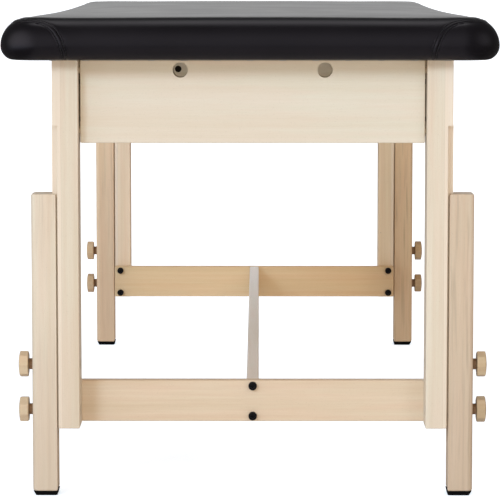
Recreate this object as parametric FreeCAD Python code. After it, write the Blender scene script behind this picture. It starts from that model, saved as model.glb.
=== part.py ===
import FreeCAD, Part
import math
import os

from FreeCAD import Rotation, Vector

# Stationary massage table: an upholstered top on a wooden frame whose four legs
# telescope, each held by two hand knobs. Millimetres, +Z up. The origin is on the
# floor under the middle of the top, and the head end is at -Y.

# Padded top
pad_length = 1854.0
pad_width = 762.0
pad_corner_radius = 60.0
pad_least_corner = 12.0
pad_underside = 668.5
lower_edge_radius = 25.0
upper_edge_radius = 38.5
crown = 2.5
side_draw_in = 2.5
profile_step = 15
cover_thickness = 1.5
cover_to_foam = 0.3
foam_split_height = 707.0
deck_thickness = 12.0
deck_half_width = 350.0
deck_half_length = 896.0
deck_corner_radius = 45.0
cover_opening_half_width = 322.0
cover_opening_half_length = 889.0

# Heights of the frame
frame_top = pad_underside + cover_thickness
apron_bottom = 541.5
shoulder_height = 569.0
upper_leg_bottom = 105.0
tongue_bottom = 107.5
rail_bottom = 107.5
rail_height = 64.5

# Upper legs, measured outwards from the middle of the table
leg_inner_face = 264.5
leg_body_face = 296.8
leg_head_face = 304.0
tongue_face = 305.5
leg_outer_end = 883.5
leg_depth = 56.0
tongue_width = 24.0
leg_edge_radius = 1.5

# Leg extensions
extension_inner_face = 299.5
extension_outer_face = 337.5
extension_depth = 46.0
extension_bottom = 7.0
extension_top = 465.0
extension_end_radius = 3.0
extension_outer_radius = 8.0
extension_inner_radius = 1.0
groove_clearance = 0.3
slot_width = 8.6
slot_end_clearance = 0.5
travel_in = 100.0
travel_out = 150.0

# Rubber feet
foot_inset = 0.8
foot_taper = 3.6
foot_inner_lip = 0.8
foot_inner_taper = 1.6
foot_corner_radius = 4.0
foot_screw_length = 20.0
foot_screw_radius = 2.0
foot_screw_head_radius = 4.2
foot_screw_head_height = 2.6
foot_screw_recess = 1.6

# Clamps
clamp_heights = {"lower": 131.5, "upper": 201.5}
clamp_bolt_radius = 4.0
clamp_bore_radius = 4.05
clamp_bolt_end = 356.0
clamp_head_flats = 13.0
clamp_head_height = 5.3
clamp_recess_radius = 9.0
clamp_recess_depth = 6.5
collar_radius = 8.5
collar_start = extension_outer_face + 0.3
collar_end = 343.8
knob_start = 344.0
knob_end = 359.4
knob_across_flats = 37.2
knob_sides = 8
knob_corner_radius = 2.8
knob_rim_radius = 2.0
knob_dome_radius = 95.0
knob_turns = (4.5, 22.5, 15.5, 28.0, 31.0, 12.0, 38.0, 20.0)

# Aprons, bearers and blocks
apron_thickness = 20.0
apron_to_leg_gap = 2.0
apron_set_back = 23.0
side_apron_inner_face = 272.0
board_edge_radius = 1.8
bearer_width = 40.0
bearer_height = 60.0
bearer_places = {"head": -430.0, "middle": 0.0, "foot": 430.0}
corner_block_reach = 92.0
corner_block_step = 25.0
corner_block_bottom = 556.0
corner_block_top = 654.0

# Face-rest holes
face_rest_spread = 110.0
face_rest_height = 652.5
face_rest_radius = 11.5
face_rest_depth = 48.0
socket_block_half_width = 28.0
socket_block_depth = 36.0
socket_block_bottom = 628.0
pilot_radius = 4.8
pilot_offset = 4.5
pilot_depth = 6.0

# Cross rails and stretcher
rail_thickness = 19.0
rail_edge_radius = 2.5
stretcher_thickness = 19.0
rail_bolt_side = 285.0
rail_bolt_spacing = 47.0

# Fasteners
bolt_radius = 3.9
bolt_head_radius = 6.5
bolt_head_height = 7.0
bolt_socket_flats = 6.0
bolt_socket_depth = 3.6
bolt_bore_radius = 4.3
insert_radius = 6.0
insert_bore_radius = 4.0
insert_length = 25.0
rail_bolt_length = 42.0
stretcher_bolt_length = 64.0
barrel_nut_radius = 5.0
barrel_nut_length = 16.0
barrel_nut_depth = 36.0
dowel_radius = 5.0
dowel_reach = 25.0
wood_bore_clearance = 0.1
head_dowel_heights = (560.0, 652.0)
side_dowel_heights = (596.0, 616.0)
bearer_dowel_radius = 4.0
bearer_dowel_reach = 15.0
bearer_dowel_heights = (625.0, 652.0)
corner_bolt_heights = (577.0, 634.0)
corner_bolt_length = 88.0
corner_screw_heights = (568.0, 605.0, 642.0)
corner_screw_radius = 2.2
corner_screw_head_radius = 4.4
corner_screw_head_height = 3.0
corner_screw_cover = 9.0
corner_screw_grip = 13.0
deck_screw_radius = 2.4
deck_screw_head_radius = 4.8
deck_screw_head_height = 3.2
deck_screw_grip = 9.0
deck_screw_recess = 28.0
deck_screw_spread = 190.0

# Places that several pieces share
ends = {"head": -1, "foot": 1}
sides = {"left": -1, "right": 1}
leg_inner_end = leg_outer_end - leg_depth
leg_middle = leg_outer_end - leg_depth / 2
rail_top = rail_bottom + rail_height
rail_inner_end = leg_inner_end - rail_thickness
rail_middle_height = rail_bottom + rail_height / 2
rail_bolt_heights = (rail_middle_height - rail_bolt_spacing / 2, rail_middle_height + rail_bolt_spacing / 2)
apron_outer_end = leg_outer_end - apron_set_back
apron_inner_end = apron_outer_end - apron_thickness
apron_half_width = leg_inner_face - apron_to_leg_gap
side_apron_outer_face = side_apron_inner_face + apron_thickness
deck_top = frame_top + deck_thickness
widest_height = pad_underside + lower_edge_radius
up = Vector(0, 0, 1)


def block(x, y, z):
    """A box between two values along each axis, given in either order."""
    corner = Vector(min(x), min(y), min(z))
    return Part.makeBox(abs(x[1] - x[0]), abs(y[1] - y[0]), abs(z[1] - z[0]), corner)


def eased(shape, radius):
    """The shape with every edge rounded over."""
    return shape.makeFillet(radius, shape.Edges)


def rod(start, way, length, radius):
    """A round bar from a point, along a direction."""
    return Part.makeCylinder(radius, length, start, way)


def prism(corners, low, high):
    """A straight-sided block over a plan outline."""
    points = [Vector(x, y, low) for x, y in corners]
    outline = Part.makePolygon(points + points[:1])
    return Part.Face(outline).extrude(Vector(0, 0, high - low))


def regular_prism(side_count, across_flats, length):
    """A bar of regular section from the origin along +Z, with flats on X and Y."""
    half_turn = math.pi / side_count
    reach = across_flats / 2 / math.cos(half_turn)
    angles = [half_turn * (2 * i + 1) for i in range(side_count)]
    return prism([(reach * math.cos(a), reach * math.sin(a)) for a in angles], 0, length)


def set_along(shape, seat, way):
    """Turns a piece that was made along +Z to point along a direction, from a seat."""
    turn = FreeCAD.Placement(seat, Rotation(up, way))
    placed = shape.copy()
    placed.Placement = turn.multiply(shape.Placement)
    return placed


def save(name, *pieces):
    """Writes one node, as a single solid or as a group of separate ones."""
    shape = pieces[0] if len(pieces) == 1 else Part.makeCompound(pieces)
    if not shape.isValid():
        raise ValueError(name + " is not a valid shape")
    shape.exportStep("parts/" + name + ".step")
    print(name, len(shape.Solids), round(shape.Volume))


# Padded top


def pad_outline(half_width, half_length, corner, height):
    """Plan outline at one height: four sides drawn in between rounded corners."""
    edges = []
    quarter = [(1, 1), (-1, 1), (-1, -1), (1, -1)]
    straight_x = half_width - corner
    straight_y = half_length - corner
    bulge = corner * math.sqrt(0.5)
    for index, (sx, sy) in enumerate(quarter):
        on_side = Vector(sx * half_width, sy * straight_y, height)
        on_end = Vector(sx * straight_x, sy * half_length, height)
        elbow = Vector(sx * (straight_x + bulge), sy * (straight_y + bulge), height)
        if index % 2 == 0:
            edges.append(Part.Arc(on_side, elbow, on_end).toShape())
            middle = Vector(0, sy * (half_length - side_draw_in), height)
            far = Vector(-on_end.x, on_end.y, height)
            edges.append(Part.Arc(on_end, middle, far).toShape())
        else:
            edges.append(Part.Arc(on_end, elbow, on_side).toShape())
            middle = Vector(sx * (half_width - side_draw_in), 0, height)
            far = Vector(on_side.x, -on_side.y, height)
            edges.append(Part.Arc(on_side, middle, far).toShape())
    return Part.Wire(edges)


def pad_form(skin):
    """The cushion's form, drawn in by a skin thickness all round."""
    lower = lower_edge_radius - skin
    upper = upper_edge_radius - skin
    profile = []
    for degrees in range(90, 0, -profile_step):
        angle = math.radians(degrees)
        profile.append((lower * (1 - math.cos(angle)), widest_height - lower * math.sin(angle)))
    for degrees in range(0, 91, profile_step):
        angle = math.radians(degrees)
        profile.append((upper * (1 - math.cos(angle)), widest_height + upper * math.sin(angle)))
    flat_start = profile[-1][0]
    flat_height = profile[-1][1]
    for share in (0.25, 0.5, 0.75):
        reach = flat_start + share * (pad_width / 2 - flat_start)
        profile.append((reach, flat_height + crown * (1 - (1 - share) ** 2)))
    sections = []
    for inset, height in profile:
        corner = max(pad_corner_radius - skin - inset, pad_least_corner)
        half_width = pad_width / 2 - skin - inset
        half_length = pad_length / 2 - skin - inset
        sections.append(pad_outline(half_width, half_length, corner, height))
    return Part.makeLoft(sections, True, True)


def above(height):
    """A slab of space over a height, larger than the table."""
    return block((-pad_width, pad_width), (-pad_length, pad_length), (height, height + pad_width))


def deck_shape(grow, low, high):
    """The deck's plan outline between two heights."""
    half_width = deck_half_width + grow
    half_length = deck_half_length + grow
    plate = block((-half_width, half_width), (-half_length, half_length), (low, high))
    uprights = [e for e in plate.Edges if e.BoundBox.ZLength > high - low - 0.1]
    return plate.makeFillet(deck_corner_radius, uprights)


def padded_top():
    """Cover, two foam layers and the plywood deck inside them."""
    opening = block(
        (-cover_opening_half_width, cover_opening_half_width),
        (-cover_opening_half_length, cover_opening_half_length),
        (pad_underside - 1, frame_top + 1),
    )
    cover = pad_form(0).cut(pad_form(cover_thickness)).cut(opening)
    foam = pad_form(cover_thickness + cover_to_foam)
    comfort_foam = foam.common(above(foam_split_height))
    room_for_deck = deck_shape(cover_to_foam, pad_underside, deck_top)
    base_foam = foam.cut(above(foam_split_height)).cut(room_for_deck)
    deck = deck_shape(0, frame_top, deck_top)
    for screw_x, screw_y in deck_screw_places():
        deck = deck.cut(deck_screw_bore(screw_x, screw_y))
    save("upholstery_cover", cover)
    save("comfort_foam", comfort_foam)
    save("base_foam", base_foam)
    save("deck_panel", deck)


# Fasteners and the bores that they sit in


def socket_bolt(seat, way, length):
    """A socket-head bolt: the seat is under its head, and the shank runs along a direction."""
    shank = rod(Vector(0, 0, 0), up, length, bolt_radius)
    head = rod(Vector(0, 0, -bolt_head_height), up, bolt_head_height, bolt_head_radius)
    rim = [e for e in head.Edges if e.BoundBox.ZMax < -bolt_head_height + 0.1]
    head = head.makeFillet(0.6, rim)
    key = regular_prism(6, bolt_socket_flats, bolt_socket_depth)
    key.translate(Vector(0, 0, -bolt_head_height))
    return set_along(head.cut(key).fuse(shank), seat, way)


def round_screw(seat, way, length, radius, head_radius, head_height):
    """A wood screw: the seat is under its head, and the shank runs along a direction."""
    shank = rod(Vector(0, 0, 0), up, length, radius)
    head = rod(Vector(0, 0, -head_height), up, head_height, head_radius)
    return set_along(head.fuse(shank), seat, way)


def leg_dowels(end, side):
    """Start and direction of each dowel between one upper leg and its aprons."""
    across = Vector(side, 0, 0)
    lengthwise = Vector(0, end, 0)
    apron_middle = end * (apron_outer_end - apron_thickness / 2)
    side_apron_middle = side * (side_apron_inner_face + apron_thickness / 2)
    places = []
    for height in head_dowel_heights:
        places.append((Vector(side * (leg_inner_face - dowel_reach), apron_middle, height), across))
    for height in side_dowel_heights:
        places.append((Vector(side_apron_middle, end * (leg_inner_end - dowel_reach), height), lengthwise))
    return places


def bearer_dowels(place):
    """Start and direction of each dowel between one deck bearer and the side aprons."""
    places = []
    for side in sides.values():
        for height in bearer_dowel_heights:
            start = Vector(side * (side_apron_inner_face - bearer_dowel_reach), place, height)
            places.append((start, Vector(side, 0, 0)))
    return places


def dowel_bores(places, radius, reach):
    """Bores for dowels, a little wider and longer than the dowels."""
    bores = []
    for start, way in places:
        bores.append(rod(start - way, way, 2 * reach + 2, radius + wood_bore_clearance))
    return bores


def corner_bolt_line(end, side):
    """Seat and direction of a corner bolt in plan, square to the corner block."""
    near = corner_block_corners(end, side)
    seat_x = (near[1][0] + near[2][0]) / 2
    seat_y = (near[1][1] + near[2][1]) / 2
    return seat_x, seat_y, Vector(side, end, 0).normalize()


def corner_block_corners(end, side):
    """Plan outline of one corner block, a bar set at 45 degrees between two aprons."""
    outer_x = side_apron_inner_face
    outer_y = apron_inner_end
    near = corner_block_reach
    far = corner_block_reach - corner_block_step
    corners = [
        (outer_x - far, outer_y),
        (outer_x - near, outer_y),
        (outer_x, outer_y - near),
        (outer_x, outer_y - far),
    ]
    return [(side * x, end * y) for x, y in corners]


def corner_screw_places(end, side):
    """Seat and direction of each screw that holds one corner block to its two aprons."""
    inset = corner_block_reach - corner_block_step / 2
    seat_y = end * (apron_inner_end - corner_screw_cover)
    seat_x = side * (side_apron_inner_face - corner_screw_cover)
    places = []
    for height in corner_screw_heights:
        into_end_apron = Vector(side * (side_apron_inner_face - inset), seat_y, height)
        into_side_apron = Vector(seat_x, end * (apron_inner_end - inset), height)
        places.append((into_end_apron, Vector(0, end, 0)))
        places.append((into_side_apron, Vector(side, 0, 0)))
    return places


def corner_screw_bores(end, side):
    """Clearance for the screws of one corner block, open on the block's inner face."""
    length = corner_screw_cover + corner_screw_grip
    bores = []
    for seat, way in corner_screw_places(end, side):
        bores.append(rod(seat, way, length + 1, corner_screw_radius + wood_bore_clearance))
        head_way = way * -1
        bores.append(rod(seat, head_way, corner_block_step, corner_screw_head_radius + 0.3))
    return bores


def deck_screw_places():
    """Plan position of each screw that holds the deck to a bearer."""
    places = []
    for bearer_y in bearer_places.values():
        for side in sides.values():
            places.append((side * deck_screw_spread, bearer_y))
    return places


def deck_screw_bore(x, y):
    """Clearance for one deck screw, recessed into the bearer from below."""
    bottom = frame_top - bearer_height
    recess = rod(Vector(x, y, bottom - 1), up, deck_screw_recess + 1, deck_screw_head_radius + 0.4)
    length = frame_top + deck_screw_grip + 1 - bottom
    return recess.fuse(rod(Vector(x, y, bottom), up, length, deck_screw_radius + wood_bore_clearance))


def group_of_fasteners():
    """Dowels, screws and bolts of the top frame, each kind as one group."""
    dowels = []
    corner_screws = []
    corner_bolts = []
    for end in ends.values():
        for side in sides.values():
            for start, way in leg_dowels(end, side):
                dowels.append(rod(start, way, 2 * dowel_reach, dowel_radius))
            for seat, way in corner_screw_places(end, side):
                length = corner_screw_cover + corner_screw_grip
                corner_screws.append(round_screw(
                    seat, way, length, corner_screw_radius,
                    corner_screw_head_radius, corner_screw_head_height))
            seat_x, seat_y, way = corner_bolt_line(end, side)
            for height in corner_bolt_heights:
                corner_bolts.append(socket_bolt(Vector(seat_x, seat_y, height), way, corner_bolt_length))
    for bearer_y in bearer_places.values():
        for start, way in bearer_dowels(bearer_y):
            dowels.append(rod(start, way, 2 * bearer_dowel_reach, bearer_dowel_radius))
    deck_screws = []
    seat_height = frame_top - bearer_height + deck_screw_recess
    for x, y in deck_screw_places():
        length = frame_top + deck_screw_grip - seat_height
        deck_screws.append(round_screw(
            Vector(x, y, seat_height), up, length, deck_screw_radius,
            deck_screw_head_radius, deck_screw_head_height))
    save("frame_dowels", *dowels)
    save("corner_screws", *corner_screws)
    save("corner_bolts", *corner_bolts)
    save("deck_screws", *deck_screws)


# Frame under the deck


def end_apron(end):
    """One short apron between two legs."""
    board = eased(block(
        (-apron_half_width, apron_half_width),
        (end * apron_inner_end, end * apron_outer_end),
        (apron_bottom, frame_top)), board_edge_radius)
    cuts = []
    for side in sides.values():
        cuts += dowel_bores(leg_dowels(end, side), dowel_radius, dowel_reach)
        cuts += corner_screw_bores(end, side)
    return board.cut(cuts)


def face_rest_bore(side, start, length):
    """Part of a face-rest hole, from a distance along Y inwards."""
    mouth = Vector(side * face_rest_spread, start, face_rest_height)
    return rod(mouth, Vector(0, 1, 0), length, face_rest_radius)


def end_aprons():
    """Head apron with its face-rest holes, and the plain foot apron."""
    head = end_apron(ends["head"])
    for side in sides.values():
        head = head.cut(face_rest_bore(side, -apron_outer_end - 1, apron_thickness + 2))
    save("head_apron", head)
    save("foot_apron", end_apron(ends["foot"]))


def face_rest_sockets():
    """Blocks behind the head apron that take the pegs of a face rest."""
    for name, side in sides.items():
        middle = side * face_rest_spread
        socket = eased(block(
            (middle - socket_block_half_width, middle + socket_block_half_width),
            (-apron_inner_end, -apron_inner_end + socket_block_depth),
            (socket_block_bottom, frame_top)), board_edge_radius)
        bore_length = face_rest_depth - apron_thickness
        socket = socket.cut(face_rest_bore(side, -apron_inner_end - 1, bore_length + 1))
        if name == "left":
            pilot_start = Vector(middle - pilot_offset, -apron_inner_end, face_rest_height)
            socket = socket.cut(rod(pilot_start, Vector(0, 1, 0), bore_length + pilot_depth, pilot_radius))
        save(name + "_face_rest_socket", socket)


def side_aprons():
    """Long aprons between the head and foot legs."""
    for name, side in sides.items():
        board = eased(block(
            (side * side_apron_inner_face, side * side_apron_outer_face),
            (-leg_inner_end, leg_inner_end),
            (apron_bottom, frame_top)), board_edge_radius)
        cuts = []
        for end in ends.values():
            cuts += dowel_bores(leg_dowels(end, side), dowel_radius, dowel_reach)
            cuts += corner_screw_bores(end, side)
        for bearer_y in bearer_places.values():
            cuts += dowel_bores(bearer_dowels(bearer_y), bearer_dowel_radius, bearer_dowel_reach)
        save(name + "_side_apron", board.cut(cuts))


def deck_bearers():
    """Cross members under the deck, between the side aprons."""
    for name, place in bearer_places.items():
        bearer = eased(block(
            (-side_apron_inner_face, side_apron_inner_face),
            (place - bearer_width / 2, place + bearer_width / 2),
            (frame_top - bearer_height, frame_top)), board_edge_radius)
        cuts = dowel_bores(bearer_dowels(place), bearer_dowel_radius, bearer_dowel_reach)
        for side in sides.values():
            cuts.append(deck_screw_bore(side * deck_screw_spread, place))
        save("deck_bearer_" + name, bearer.cut(cuts))


def corner_blocks():
    """Braces across the four corners of the frame."""
    blocks = []
    for end in ends.values():
        for side in sides.values():
            brace = prism(corner_block_corners(end, side), corner_block_bottom, corner_block_top)
            cuts = corner_screw_bores(end, side) + corner_bolt_bores(end, side)
            blocks.append(brace.cut(cuts))
    save("corner_blocks", *blocks)


def corner_bolt_bores(end, side):
    """Bores for the bolts through one corner block and into its leg."""
    seat_x, seat_y, way = corner_bolt_line(end, side)
    radius = bolt_radius + wood_bore_clearance
    return [
        rod(Vector(seat_x, seat_y, height) - way, way, corner_bolt_length + 2, radius)
        for height in corner_bolt_heights
    ]


# Legs


def upper_legs():
    """Fixed legs: a shoulder above, and below it a tongue for the extension to ride on."""
    for end_name, end in ends.items():
        for side_name, side in sides.items():
            depth = (end * leg_inner_end, end * leg_outer_end)
            body = eased(block(
                (side * leg_inner_face, side * leg_body_face), depth,
                (upper_leg_bottom, frame_top)), leg_edge_radius)
            overlap = leg_body_face - 2 * leg_edge_radius
            head = block((side * overlap, side * leg_head_face), depth, (shoulder_height, frame_top))
            outer = [e for e in head.Edges if abs(e.CenterOfMass.x) > leg_head_face - 0.1]
            head = head.makeFillet(leg_edge_radius, outer)
            tongue = block(
                (side * overlap, side * tongue_face),
                (end * (leg_middle - tongue_width / 2), end * (leg_middle + tongue_width / 2)),
                (tongue_bottom, shoulder_height))
            cuts = dowel_bores(leg_dowels(end, side), dowel_radius, dowel_reach)
            cuts += corner_bolt_bores(end, side)
            cuts += clamp_bores(end, side)
            for height in rail_bolt_heights:
                mouth = Vector(side * rail_bolt_side, end * (leg_inner_end - 1), height)
                cuts.append(rod(mouth, Vector(0, end, 0), insert_length + 1, insert_radius + wood_bore_clearance))
            leg = body.fuse([head, tongue]).removeSplitter().cut(cuts)
            save("_".join(["upper_leg", end_name, side_name]), leg)


def clamp_bores(end, side):
    """Bores and head recesses for the two clamp bolts of one leg."""
    cuts = []
    way = Vector(side, 0, 0)
    for height in clamp_heights.values():
        start = Vector(side * (leg_inner_face - 1), end * leg_middle, height)
        cuts.append(rod(start, way, clamp_recess_depth + 1, clamp_recess_radius))
        cuts.append(rod(start, way, tongue_face - leg_inner_face + 2, clamp_bolt_radius + wood_bore_clearance))
    return cuts


def upright_edges(bar, face):
    """The upright edges of a bar on one of its side faces."""
    return [e for e in bar.Edges if e.BoundBox.ZLength > 1 and abs(abs(e.CenterOfMass.x) - face) < 0.1]


def rounded_bar(bar):
    """A leg extension's bar: soft outer upright edges, eased ends and crisp inner upright edges."""
    bar = bar.makeFillet(extension_outer_radius, upright_edges(bar, extension_outer_face))
    ends_of_bar = [edge for edge in bar.Edges if edge.BoundBox.ZLength < 1]
    bar = bar.makeFillet(extension_end_radius, ends_of_bar)
    return bar.makeFillet(extension_inner_radius, upright_edges(bar, extension_inner_face))


def leg_extensions():
    """Outer legs, grooved to ride on the tongues and slotted for the clamp bolts."""
    slot_low = clamp_heights["lower"] - travel_in - slot_end_clearance
    slot_high = clamp_heights["upper"] + travel_out + slot_end_clearance
    for end_name, end in ends.items():
        for side_name, side in sides.items():
            middle = end * leg_middle
            half_depth = extension_depth / 2
            bar = rounded_bar(block(
                (side * extension_inner_face, side * extension_outer_face),
                (middle - half_depth, middle + half_depth),
                (extension_bottom, extension_top)))
            half_groove = tongue_width / 2 + groove_clearance
            groove = block(
                (side * (extension_inner_face - 1), side * (tongue_face + groove_clearance)),
                (middle - half_groove, middle + half_groove),
                (extension_bottom - 1, extension_top + 1))
            across = (side * (extension_inner_face - 1), side * (extension_outer_face + 1))
            slot = block(across, (middle - slot_width / 2, middle + slot_width / 2), (slot_low, slot_high))
            way = Vector(side, 0, 0)
            width = abs(across[1] - across[0])
            for height in (slot_low, slot_high):
                slot = slot.fuse(rod(Vector(across[0], middle, height), way, width, slot_width / 2))
            screw_start = foot_screw_start(end, side)
            screw_hole = rod(screw_start, up, foot_screw_length + 1, foot_screw_radius + wood_bore_clearance)
            name = "_".join(["leg_extension", end_name, side_name])
            save(name, bar.cut([groove, slot, screw_hole]))


def foot_screw_start(end, side):
    """Underside of the shank of one foot screw, in the middle of its foot."""
    middle = (tongue_face + groove_clearance + extension_outer_face) / 2
    height = foot_screw_recess + foot_screw_head_height
    return Vector(side * middle, end * leg_middle, height)


def rectangle(x, y, height):
    """A closed outline in plan, between two values along X and along Y."""
    points = [Vector(a, b, height) for a, b in ((x[0], y[0]), (x[1], y[0]), (x[1], y[1]), (x[0], y[1]))]
    return Part.makePolygon(points + points[:1])


def foot_pads():
    """Tapered rubber feet, each held by one screw."""
    for end_name, end in ends.items():
        for side_name, side in sides.items():
            rims = []
            for share, height in ((1, 0), (0, extension_bottom)):
                inner = extension_inner_face - foot_inner_lip + share * foot_inner_taper
                inset = foot_inset + share * foot_taper
                half = extension_depth / 2 - inset
                y = (end * leg_middle - half, end * leg_middle + half)
                rims.append(rectangle((side * inner, side * (extension_outer_face - inset)), y, height))
            pad = Part.makeLoft(rims, True, True)
            uprights = [e for e in pad.Edges if e.BoundBox.ZLength > extension_bottom - 0.1]
            pad = pad.makeFillet(foot_corner_radius, uprights)
            shank_start = foot_screw_start(end, side)
            recess_start = Vector(shank_start.x, shank_start.y, -1)
            recess = rod(recess_start, up, shank_start.z + 1, foot_screw_head_radius + 0.3)
            shank_hole = rod(recess_start, up, extension_bottom + 2, foot_screw_radius + wood_bore_clearance)
            screw = round_screw(
                shank_start, up, foot_screw_length, foot_screw_radius,
                foot_screw_head_radius, foot_screw_head_height)
            place = "_".join([end_name, side_name])
            save("foot_pad_" + place, pad.cut([recess, shank_hole]))
            save("foot_screw_" + place, screw)


# Clamps


def clamp_bolt(seat, way):
    """A hexagon-head bolt whose head sits in the upper leg's recess."""
    length = clamp_bolt_end - leg_inner_face - clamp_recess_depth
    shank = rod(Vector(0, 0, 0), up, length, clamp_bolt_radius)
    head = regular_prism(6, clamp_head_flats, clamp_head_height)
    head.translate(Vector(0, 0, -clamp_head_height))
    return set_along(head.fuse(shank), seat, way)


def clamp_collar():
    """A plain round collar between a knob and its leg, along +Z."""
    length = collar_end - collar_start
    collar = eased(rod(Vector(0, 0, 0), up, length, collar_radius), 0.5)
    return collar.cut(rod(Vector(0, 0, -1), up, length + 2, clamp_bore_radius))


def clamp_knob():
    """An octagonal hand knob with a domed face and soft corners, along +Z."""
    length = knob_end - knob_start
    knob = regular_prism(knob_sides, knob_across_flats, length)
    corners = [e for e in knob.Edges if e.BoundBox.ZLength > length - 0.1]
    knob = knob.makeFillet(knob_corner_radius, corners)
    dome = Part.makeSphere(knob_dome_radius, Vector(0, 0, length - knob_dome_radius))
    knob = knob.common(dome)
    front = max(knob.Faces, key=lambda face: face.CenterOfMass.z)
    back = min(knob.Faces, key=lambda face: face.CenterOfMass.z)
    knob = knob.makeFillet(knob_rim_radius, front.Edges + back.Edges)
    bore_length = clamp_bolt_end - knob_start + 0.3
    return knob.cut(rod(Vector(0, 0, -1), up, bore_length + 1, clamp_bore_radius))


def clamps():
    """Two clamps on each leg: a bolt fixed in the leg, a collar and a hand knob.

    Tightened knobs stop at any angle, so each one is turned by an angle of its own.
    """
    bolts = []
    collar = clamp_collar()
    turns = iter(knob_turns)
    for end_name, end in ends.items():
        for side_name, side in sides.items():
            way = Vector(side, 0, 0)
            for level, height in clamp_heights.items():
                middle = end * leg_middle
                head_seat = side * (leg_inner_face + clamp_recess_depth)
                bolts.append(clamp_bolt(Vector(head_seat, middle, height), way))
                place = "_".join([end_name, side_name, level])
                collar_seat = Vector(side * collar_start, middle, height)
                save("knob_collar_" + place, set_along(collar, collar_seat, way))
                knob = clamp_knob()
                knob.rotate(Vector(0, 0, 0), up, next(turns))
                knob_seat = Vector(side * knob_start, middle, height)
                save("clamp_knob_" + place, set_along(knob, knob_seat, way))
    save("clamp_bolts", *bolts)


# Cross rails and stretcher


def cross_rails():
    """Rails lapped on the inner faces of the legs, with their bolts and inserts."""
    bolts = []
    inserts = []
    stretcher_bolts = []
    for end_name, end in ends.items():
        board = eased(block(
            (-leg_body_face, leg_body_face), (end * rail_inner_end, end * leg_inner_end),
            (rail_bottom, rail_top)), rail_edge_radius)
        cuts = []
        outwards = Vector(0, end, 0)
        for height in rail_bolt_heights:
            for side in sides.values():
                seat = Vector(side * rail_bolt_side, end * rail_inner_end, height)
                bolts.append(socket_bolt(seat, outwards, rail_bolt_length))
                cuts.append(rod(seat - outwards, outwards, rail_thickness + 2, bolt_bore_radius))
                mouth = Vector(side * rail_bolt_side, end * leg_inner_end, height)
                sleeve = rod(mouth, outwards, insert_length, insert_radius)
                inserts.append(sleeve.cut(rod(mouth, outwards, insert_length, insert_bore_radius)))
            seat = Vector(0, end * leg_inner_end, height)
            stretcher_bolts.append(socket_bolt(seat, outwards * -1, stretcher_bolt_length))
            cuts.append(rod(seat + outwards, outwards * -1, rail_thickness + 2, bolt_bore_radius))
        save(end_name + "_cross_rail", board.cut(cuts))
    save("rail_bolts", *bolts)
    save("rail_inserts", *inserts)
    save("stretcher_bolts", *stretcher_bolts)


def centre_stretcher():
    """Lengthwise board on edge between the cross rails, with its barrel nuts."""
    half = stretcher_thickness / 2
    board = eased(block(
        (-half, half), (-rail_inner_end, rail_inner_end), (rail_bottom, rail_top)), rail_edge_radius)
    across = Vector(1, 0, 0)
    cuts = []
    nuts = []
    for end in ends.values():
        outwards = Vector(0, end, 0)
        for height in rail_bolt_heights:
            bolt_start = Vector(0, end * (rail_inner_end + 1), height)
            bore_length = stretcher_bolt_length - rail_thickness + 3
            cuts.append(rod(bolt_start, outwards * -1, bore_length, bolt_bore_radius))
            nut_middle = end * (rail_inner_end - barrel_nut_depth)
            bore_start = Vector(-half - 1, nut_middle, height)
            cuts.append(rod(bore_start, across, stretcher_thickness + 2, barrel_nut_radius + wood_bore_clearance))
            nut_start = Vector(-barrel_nut_length / 2, nut_middle, height)
            nut = rod(nut_start, across, barrel_nut_length, barrel_nut_radius)
            thread = rod(
                Vector(0, nut_middle - 2 * barrel_nut_radius, height), Vector(0, 1, 0),
                4 * barrel_nut_radius, insert_bore_radius)
            nuts.append(nut.cut(thread))
    save("centre_stretcher", board.cut(cuts))
    save("barrel_nuts", *nuts)


os.makedirs("parts", exist_ok=True)
padded_top()
end_aprons()
side_aprons()
deck_bearers()
face_rest_sockets()
corner_blocks()
group_of_fasteners()
upper_legs()
leg_extensions()
foot_pads()
clamps()
cross_rails()
centre_stretcher()
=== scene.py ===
import math

import bpy
import numpy as np
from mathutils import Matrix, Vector
from mathutils.bvhtree import BVHTree


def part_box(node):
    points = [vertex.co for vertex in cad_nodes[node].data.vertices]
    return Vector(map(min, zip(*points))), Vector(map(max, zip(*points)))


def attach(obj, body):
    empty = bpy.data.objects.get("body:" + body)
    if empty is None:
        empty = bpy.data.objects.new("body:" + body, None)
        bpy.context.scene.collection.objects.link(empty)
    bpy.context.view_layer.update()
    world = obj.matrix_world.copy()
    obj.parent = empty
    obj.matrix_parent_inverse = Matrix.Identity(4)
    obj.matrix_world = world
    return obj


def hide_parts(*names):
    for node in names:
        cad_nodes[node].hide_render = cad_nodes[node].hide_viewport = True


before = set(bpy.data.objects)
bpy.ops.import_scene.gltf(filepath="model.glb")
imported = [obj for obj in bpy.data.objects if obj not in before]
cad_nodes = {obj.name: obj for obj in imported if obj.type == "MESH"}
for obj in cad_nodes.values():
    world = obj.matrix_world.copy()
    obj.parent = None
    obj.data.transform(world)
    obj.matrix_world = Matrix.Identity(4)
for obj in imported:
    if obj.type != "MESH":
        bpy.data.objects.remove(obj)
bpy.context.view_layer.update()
bpy.context.scene.view_settings.view_transform = "Standard"


# Head and foot aprons: short boards of planed beech under the top, with a clear satin lacquer.
# They are dowelled between the legs, with the grain across the table, and the head one has
# two holes for a face rest.
apron_pale = (0.785, 0.735, 0.61)
apron_deep = (0.715, 0.64, 0.49)


def start_material(name):
    """A new material, its node tree and its shader."""
    material = bpy.data.materials.new(name)
    material.use_nodes = True
    return material, material.node_tree, material.node_tree.nodes["Principled BSDF"]


def feed(tree, value, socket):
    """Sets a socket to a plain value, or links another socket to it."""
    if isinstance(value, bpy.types.NodeSocket):
        tree.links.new(value, socket)
    else:
        socket.default_value = value


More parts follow.
